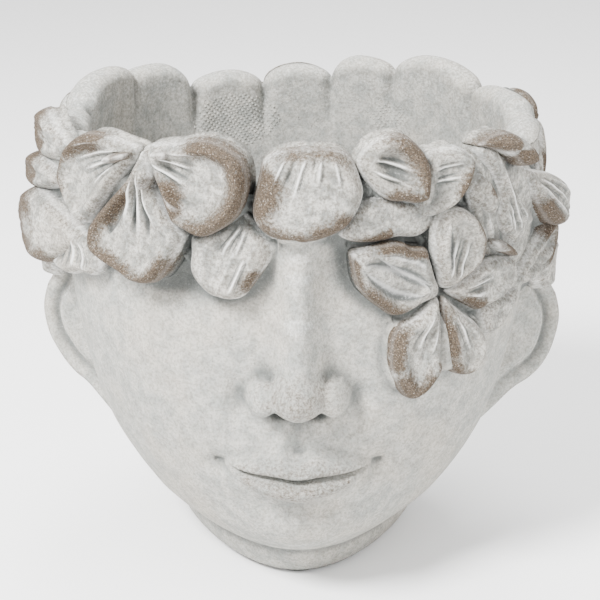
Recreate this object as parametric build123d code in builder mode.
"""A cement planter in the form of a head that wears a wreath of blossoms round its rim.

The head is an open bowl on a short neck, with a closed floor, a drain hole and a rubber plug in
it. The face looks along -Y, +Z is up, and left and right are as seen from the front, so the right
is +X. The planter stands on glued foot pads at Z = 0. Sizes are in millimetres, angles in degrees.

A place on the head is given as a turn and a height: turn 0 is the front, turn 90 the right side.
"""
from math import asin, cos, degrees, radians, sin
import os

from build123d import *

# Bowl: the outside of the head at the rim, and its wall
rim_height = 174.0
rim_half_width = 88.0
rim_front = 80.0
rim_back = 81.0
wall = 9.0
back_shift = 3.7

# Neck, floor and foot pads
neck_height = 14.0
neck_half_width = 45.0
neck_front = 45.0
neck_back = 46.0
floor_thickness = 12.4
pad_thickness = 1.6
pad_radius = 7.0
pad_inset = 10.0

# Rim lobes: round scallops all the way, lower where the wreath stands before them
lobe_count = 20
lobe_radius = 17.0
lobe_front_drop = 6.0
lobe_front_turn = 76.0

# Nose
nose_base_height = 81.0
nose_length = 58.0
nose_reach = 19.0
nose_half_width = 13.0
nose_tip_radius = 10.5
wing_radius = 7.5
wing_spread = 10.0

# Lips and chin
mouth_height = 59.0
mouth_half_width = 26.0
lip_reach = 5.0
upper_lip_rise = 5.5
lower_lip_drop = 6.5
chin_height = 33.0
chin_radius = 20.0
chin_reach = 2.5

# How far a feature of the face is sunk into the head
feature_root = 6.0

# Ears
ear_height = 62.0
ear_width = 42.0
ear_thickness = 9.0
ear_middle_height = 88.0
ear_inset = 3.5
ear_sweep = 30.0
ear_helix = 6.5
ear_bowl_depth = 4.0
ear_edge = 2.5

# Petals: the width and the standing that their shares are taken of
petal_width = 30.0
relief = 10.0
petal_root = 16.0
petal_edge = 3.2
dish_depth = 1.6

# Drain and its plug
drain_radius = 8.0
plug_clearance = 0.05
plug_flange_radius = 13.0
plug_flange_thickness = 3.0
plug_grip_radius = 4.0
plug_grip_height = 9.0
plug_grip_edge = 1.2
plug_recess = 2.0

# One overrun serves every cut
overrun = 12.0

# Outline of the head: its height from the neck to the rim, its half width, its middle, its front
# and its back, each as a share of the rim's, and the power that rounds its front
head_shares = [
    (0.000, 0.568, 0.125, 0.650, 0.642, 1.70),
    (0.100, 0.722, 0.088, 0.838, 0.765, 1.45),
    (0.269, 0.864, 0.050, 0.950, 0.901, 1.20),
    (0.444, 0.938, 0.025, 0.975, 0.975, 1.05),
    (0.631, 0.983, 0.000, 1.000, 1.012, 1.00),
    (0.850, 1.000, 0.000, 1.000, 1.000, 1.00),
    (1.000, 1.000, 0.000, 0.992, 0.994, 1.00),
]
neck_middle_share = 0.267
neck_power = 1.8
section_turns = range(0, 360, 24)

# Nose sections from its base up: height, half width and reach
nose_shares = [
    (0.00, 0.96, 0.70),
    (0.14, 1.00, 0.90),
    (0.40, 0.76, 0.70),
    (0.70, 0.64, 0.40),
    (1.00, 0.80, 0.08),
]

# Lip sections from corner to corner: place, size, and how far the upper lip's middle dips
lip_shares = [
    (-1.00, 0.34, 0.00),
    (-0.55, 0.80, 0.06),
    (0.00, 1.00, 0.00),
    (0.55, 0.80, 0.06),
    (1.00, 0.34, 0.00),
]

# A petal's root and its dish, as shares of its half width
root_share_of_width = 0.35
dish_share = 0.60

# Petals of the wreath. Each row: root turn, root height, tip turn, tip height, width, and how far
# the root and the tip stand out. Heights are shares of the rim's. A piece higher in the list lies
# over those below it.
wreath_shares = {
    "blossom_brow_left": [
        (-36, 0.950, -60, 0.870, 1.05, 1.20, 1.20),
        (-37, 0.965, -57, 0.970, 0.75, 1.10, 1.10),
        (-35, 0.950, -37, 0.705, 1.20, 1.05, 1.05),
        (-34, 0.945, -11, 0.862, 1.15, 1.10, 1.10),
        (-33, 0.965, -14, 0.965, 0.80, 1.00, 1.00),
    ],
    "blossom_cheek": [
        (31, 0.700, 10, 0.795, 0.66, 0.95, 0.95),
        (34, 0.705, 40, 0.860, 0.80, 0.95, 0.95),
        (35, 0.695, 57, 0.715, 0.84, 0.95, 0.95),
        (34, 0.685, 42, 0.502, 0.80, 0.90, 0.90),
        (32, 0.685, 26, 0.485, 0.80, 0.95, 0.95),
    ],
    "petal_rim_right": [(11, 0.955, 29, 0.925, 0.98, 1.20, 1.20)],
    "petal_brow_middle": [(2.0, 0.960, 1.5, 0.825, 1.30, 1.10, 1.10)],
    "petal_rim_right_side": [(24, 0.915, 40, 0.935, 0.90, 0.95, 0.95)],
    "petal_rim_right_low": [(40, 0.900, 51, 0.900, 0.86, 0.75, 0.75)],
    "blossom_temple_right": [
        (54, 0.770, 46, 0.960, 0.90, 0.90, 1.00),
        (56, 0.775, 63, 0.955, 0.95, 0.90, 1.30),
        (56, 0.760, 80, 0.800, 1.05, 0.90, 2.15),
        (56, 0.745, 74, 0.640, 0.90, 0.90, 0.90),
    ],
    "petal_brow_left_low": [(-9, 0.850, -15.5, 0.690, 1.05, 0.85, 0.85)],
    "petal_brow_right_low": [(21, 0.875, 9, 0.832, 0.55, 0.75, 0.75)],
    "leaf_cheek": [(40, 0.675, 53, 0.565, 0.66, 0.70, 0.70)],
    "petal_temple_left": [(-59, 0.820, -84, 0.765, 1.25, 0.90, 2.15)],
    "petal_temple_left_upper": [(-64, 0.890, -83, 0.880, 0.90, 0.90, 1.50)],
    "petal_temple_left_top": [(-57, 0.950, -78, 0.955, 0.95, 0.90, 1.40)],
    "petal_temple_left_low": [(-60, 0.780, -57, 0.675, 0.95, 0.85, 0.85)],
    "petal_ear_right": [(80, 0.730, 97, 0.650, 0.95, 1.20, 1.20)],
    "petal_ear_left": [(-82, 0.730, -98, 0.650, 0.95, 1.10, 1.10)],
}

# Blossoms of the back, and the petals that hang between them: the first one's turn, the turn from
# one to the next, and how many
back_turn = 110
back_step = 35
back_count = 5
back_height_shares = [0.840, 0.790]
back_petals = 5
back_reach_turn = 17.0
back_reach_share = 0.150
back_petal_share = 0.90
back_standing_share = 0.95
between_row_shares = (0.900, 0.640, 0.95, 0.70)


def outline_row(height):
    """Half width, middle, front, back and power of the head's outline at a height."""
    share = (height - neck_height) / (rim_height - neck_height)
    share = min(max(share, 0), 1)
    upper = next(row for row in range(1, len(head_shares)) if share <= head_shares[row][0])
    low_row = head_shares[upper - 1]
    high_row = head_shares[upper]
    mix = (share - low_row[0]) / (high_row[0] - low_row[0])
    row = [low + mix * (high - low) for low, high in zip(low_row, high_row)]
    return row[1] * rim_half_width, row[2] * rim_front, row[3] * rim_front, row[4] * rim_back, row[5]


def outline_place(row, turn, inset):
    """The place of an outline at a turn, a given way in from it."""
    half_width, middle, front, back, power = row
    right = (half_width - inset) * sin(radians(turn))
    ahead = cos(radians(turn))
    if ahead > 0:
        depth = middle - (middle + front - inset) * ahead ** power
    else:
        depth = middle - (back - middle - inset) * ahead
    return right, depth + back_shift


def skin(turn, height):
    """The point of the head's outside at a turn and a height."""
    right, depth = outline_place(outline_row(height), turn, 0)
    return Vector(right, depth, height)


def outline_face(row, height, inset=0):
    """A closed section of the head at a height."""
    with BuildSketch(Plane.XY.offset(height)) as section:
        with BuildLine():
            Spline([outline_place(row, turn, inset) for turn in section_turns], periodic=True)
        make_face()
    return section.sketch


def head_faces(inset=0):
    """The head's sections from the neck up to above the rim."""
    span = rim_height - neck_height
    faces = []
    for row in head_shares:
        height = neck_height + row[0] * span
        faces.append(outline_face(outline_row(height), height, inset))
    top_row = outline_row(rim_height)
    faces.append(outline_face(top_row, rim_height + overrun, inset))
    return faces


neck_row = (neck_half_width, neck_middle_share * neck_front, neck_front, neck_back, neck_power)
neck_face = outline_face(neck_row, pad_thickness)

# The bare head, solid: neck and skull
with BuildPart() as skull:
    add(neck_face)
    add(outline_face(outline_row(neck_height), neck_height))
    loft(ruled=True)
    add(head_faces())
    loft()


def nose_sections():
    """The nose as upright slices, each an ellipse sunk into the face."""
    faces = []
    for height_share, width_share, reach_share in nose_shares:
        height = nose_base_height + height_share * nose_length
        depth = nose_reach * reach_share + feature_root
        middle = skin(0, height).Y + feature_root
        with BuildSketch(Plane((0, middle, height))) as slice_face:
            Ellipse(nose_half_width * width_share, depth)
        faces.append(slice_face.sketch)
    return faces


def lip_sections(middle_height, half_height, dips):
    """One lip as slices from corner to corner, each an ellipse that follows the face's round."""
    faces = []
    for place_share, size_share, dip_share in lip_shares:
        across = mouth_half_width * place_share
        turn = degrees(asin(across / rim_half_width))
        height = middle_height + dips * half_height * dip_share
        middle = Vector(across, skin(turn, height).Y + feature_root / 2, height)
        reach = (lip_reach + feature_root / 2) * size_share
        with BuildSketch(Plane(middle, x_dir=(0, 1, 0), z_dir=(1, 0, 0))) as slice_face:
            Ellipse(reach, half_height * size_share)
        faces.append(slice_face.sketch)
    return faces


# The nose, solid and sunk into the face
nose_tip_height = nose_base_height + nose_tip_radius
nose_tip_depth = skin(0, nose_tip_height).Y - nose_reach + nose_tip_radius
wing_height = nose_base_height + wing_radius
wing_depth = skin(0, wing_height).Y - wing_radius / 2
with BuildPart() as nose:
    add(nose_sections())
    loft()
    with Locations((0, nose_tip_depth, nose_tip_height)):
        Sphere(nose_tip_radius)
    with Locations((-wing_spread, wing_depth, wing_height), (wing_spread, wing_depth, wing_height)):
        Sphere(wing_radius)

# The lips and the chin
chin_depth = skin(0, chin_height).Y - chin_reach + chin_radius
with BuildPart() as mouth:
    add(lip_sections(mouth_height + upper_lip_rise / 2, upper_lip_rise, 1))
    loft()
    add(lip_sections(mouth_height - lower_lip_drop / 2, lower_lip_drop, -1))
    loft()
    with Locations((0, chin_depth, chin_height)):
        Sphere(chin_radius)

# What is cut off the wall above the scalloped rim
lobe_middle = rim_height - lobe_radius
lobe_start = rim_front / 2
lobe_length = rim_half_width
with BuildPart() as rim_waste:
    with BuildSketch(Plane.XY.offset(lobe_middle - lobe_front_drop)):
        Circle(rim_half_width + overrun)
        Circle(lobe_start + overrun, mode=Mode.SUBTRACT)
    extrude(amount=rim_height - lobe_middle + lobe_front_drop + overrun)
    for lobe in range(lobe_count):
        lobe_turn = 360 * lobe / lobe_count
        outward = Vector(sin(radians(lobe_turn)), -cos(radians(lobe_turn)), 0)
        in_front = min(lobe_turn, 360 - lobe_turn) < lobe_front_turn
        lobe_height = lobe_middle - lobe_front_drop if in_front else lobe_middle
        start = outward * lobe_start + Vector(0, 0, lobe_height)
        with BuildSketch(Plane(start, x_dir=(0, 0, 1), z_dir=outward)):
            Circle(lobe_radius)
            if not in_front:
                with Locations((-lobe_front_drop, 0)):
                    Rectangle(2 * lobe_front_drop, 2 * lobe_radius)
        extrude(amount=lobe_length, mode=Mode.SUBTRACT)

floor_height = pad_thickness + floor_thickness

# The bowl itself, one shell with the neck, the floor, the face and the rim
with BuildPart() as head_shell:
    add(skull.part)
    add([nose.part, mouth.part])
    add(head_faces(wall))
    loft(mode=Mode.SUBTRACT)
    add(rim_waste.part, mode=Mode.SUBTRACT)
    with Locations((0, 0, pad_thickness + floor_thickness / 2)):
        Cylinder(drain_radius, floor_thickness + overrun, mode=Mode.SUBTRACT)


def ear(side):
    """One ear, a dished shell with a raised edge; side is -1 for the left and 1 for the right."""
    swept = radians(ear_sweep)
    out_dir = Vector(side * cos(swept), sin(swept), 0)
    face_dir = Vector(side * sin(swept), -cos(swept), 0)
    root = skin(90 * side, ear_middle_height) - Vector(side * ear_inset, 0, 0)
    face_plane = Plane(root + face_dir * (ear_thickness / 2), x_dir=out_dir, z_dir=face_dir)
    with BuildPart() as shell:
        with BuildSketch(face_plane):
            Ellipse(ear_width / 2, ear_height / 2)
        extrude(amount=-ear_thickness)
        fillet(shell.edges(), ear_edge)
        with BuildSketch(face_plane):
            Ellipse(ear_width / 2 - ear_helix, ear_height / 2 - ear_helix)
        extrude(amount=-ear_bowl_depth, mode=Mode.SUBTRACT)
        add(skull.part, mode=Mode.SUBTRACT)
    return shell.part


def square_to(along, outward):
    """The direction nearest to outward that is square to along."""
    return (outward - along * (along.dot(outward) / along.length ** 2)).normalized()


def petal_top(row):
    """The plane of a petal's top, its X from root to tip and its Z out of the head, and its length."""
    root_turn, root_share, tip_turn, tip_share, width_share, root_standing, tip_standing = row
    root = skin(root_turn, root_share * rim_height)
    tip = skin(tip_turn, tip_share * rim_height)
    middle_turn = radians((root_turn + tip_turn) / 2)
    outward = Vector(sin(middle_turn) * rim_front, -cos(middle_turn) * rim_half_width, 0)
    up = square_to(tip - root, outward)
    root_top = root + up * relief * root_standing
    along = tip + up * relief * tip_standing - root_top
    top = Plane(root_top, x_dir=along, z_dir=square_to(along, outward))
    return top, along.length, relief * max(root_standing, tip_standing)


def petal_face(row, pointed):
    """The flat outline of a petal, narrow at its root and round or pointed at its tip."""
    top, length, standing = petal_top(row)
    half_width = petal_width * row[4] / 2
    with BuildSketch(top) as face:
        if pointed:
            with BuildLine():
                ThreePointArc((0, 0), (length / 2, half_width), (length, 0))
                ThreePointArc((length, 0), (length / 2, -half_width), (0, 0))
            make_face()
        else:
            Circle(half_width * root_share_of_width)
            with Locations((length - half_width, 0)):
                Circle(half_width)
            make_hull()
    return face.sketch


def petal(row, pointed):
    """One petal, from its round edge and dished top down into the head."""
    top, length, standing = petal_top(row)
    half_width = petal_width * row[4] / 2
    crown_radius = (length ** 2 / 4 + petal_edge ** 2) / (2 * petal_edge)
    dish_half = half_width * dish_share
    dish_radius = (dish_half ** 2 + dish_depth ** 2) / (2 * dish_depth)
    dish_middle = (length / 2 if pointed else length - half_width, 0, dish_radius - dish_depth)
    with BuildPart() as leaf:
        add(petal_face(row, pointed))
        extrude(amount=standing + petal_root, dir=-top.z_dir)
        with Locations(top * Location((length / 2, 0, -crown_radius))):
            Sphere(crown_radius, mode=Mode.INTERSECT)
        with Locations(top * Location(dish_middle)):
            Sphere(dish_radius, mode=Mode.SUBTRACT)
    return leaf.part


def footprint(row, pointed):
    """The straight block that a petal takes up, through the head and out past its own top."""
    top, length, standing = petal_top(row)
    with BuildPart() as block:
        add(petal_face(row, pointed))
        extrude(amount=standing + petal_root, dir=-top.z_dir)
        add(petal_face(row, pointed))
        extrude(amount=overrun, dir=top.z_dir)
    return block.part


def touches(mine, theirs):
    """Whether two boxes meet."""
    apart_x = mine.min.X > theirs.max.X or theirs.min.X > mine.max.X
    apart_y = mine.min.Y > theirs.max.Y or theirs.min.Y > mine.max.Y
    apart_z = mine.min.Z > theirs.max.Z or theirs.min.Z > mine.max.Z
    return not (apart_x or apart_y or apart_z)


def wreath_piece(rows, pointed, over):
    """A blossom, petal or leaf, cut to the head and to what lies over it."""
    petals = [petal(row, pointed) for row in rows]
    with BuildPart() as piece:
        add(petals)
        add(skull.part, mode=Mode.SUBTRACT)
        box = piece.part.bounding_box()
        add([other for other, other_box in over if touches(box, other_box)], mode=Mode.SUBTRACT)
    return piece.part


def back_rows(turn, height_share):
    """The five petals of a blossom of the back."""
    rows = []
    for number in range(back_petals):
        way = radians(360 * number / back_petals + 90)
        tip_turn = turn + back_reach_turn * cos(way)
        tip_share = height_share + back_reach_share * sin(way)
        row = (turn, height_share, tip_turn, tip_share, back_petal_share)
        rows.append((*row, back_standing_share, back_standing_share))
    return rows


ears = {"ear_left": ear(-1), "ear_right": ear(1)}

# The wreath: each piece gives way to the ears, the nose and the pieces listed before it
for number in range(back_count):
    turn = back_turn + back_step * number
    wreath_shares[f"blossom_back_{number + 1}"] = back_rows(turn, back_height_shares[number % 2])
for number in range(back_count + 1):
    turn = back_turn + back_step * (number - 0.5)
    root_share, tip_share, width_share, standing_share = between_row_shares
    wreath_shares[f"petal_back_{number + 1}"] = [
        (turn, root_share, turn, tip_share, width_share, standing_share, standing_share)
    ]
wreath = {}
taken = [(other, other.bounding_box()) for other in [*ears.values(), nose.part]]
for name, rows in wreath_shares.items():
    pointed = name.startswith("leaf")
    wreath[name] = wreath_piece(rows, pointed, taken)
    blocks = [footprint(row, pointed) for row in rows]
    taken += [(block, block.bounding_box()) for block in blocks]

# Rubber plug: a flange on the floor, a grip to pull it by and a stem that closes the drain
with BuildPart() as drain_plug:
    with BuildSketch(Plane.XY.offset(pad_thickness + plug_recess)):
        Circle(drain_radius - plug_clearance)
    extrude(amount=floor_thickness - plug_recess)
    with BuildSketch(Plane.XY.offset(floor_height)):
        Circle(plug_flange_radius)
    extrude(amount=plug_flange_thickness)
    with BuildSketch(Plane.XY.offset(floor_height + plug_flange_thickness)):
        Circle(plug_grip_radius)
    extrude(amount=plug_grip_height)
    fillet(drain_plug.edges().group_by(Axis.Z)[-1], plug_grip_edge)

# Foot pads under the neck
pad_places = [
    (0, back_shift - neck_front + pad_inset),
    (0, back_shift + neck_back - pad_inset),
    (neck_half_width - pad_inset, back_shift + neck_middle_share * neck_front),
    (-neck_half_width + pad_inset, back_shift + neck_middle_share * neck_front),
]
with BuildPart() as foot_pads:
    with BuildSketch(Plane.XY):
        with Locations(pad_places):
            Circle(pad_radius)
    extrude(amount=pad_thickness)

os.makedirs("parts", exist_ok=True)
pieces = {
    "head_shell": head_shell.part,
    **ears,
    **wreath,
    "drain_plug": drain_plug.part,
    "foot_pads": foot_pads.part,
}
for name, piece in pieces.items():
    piece.label = name
    export_step(piece, f"parts/{name}.step")
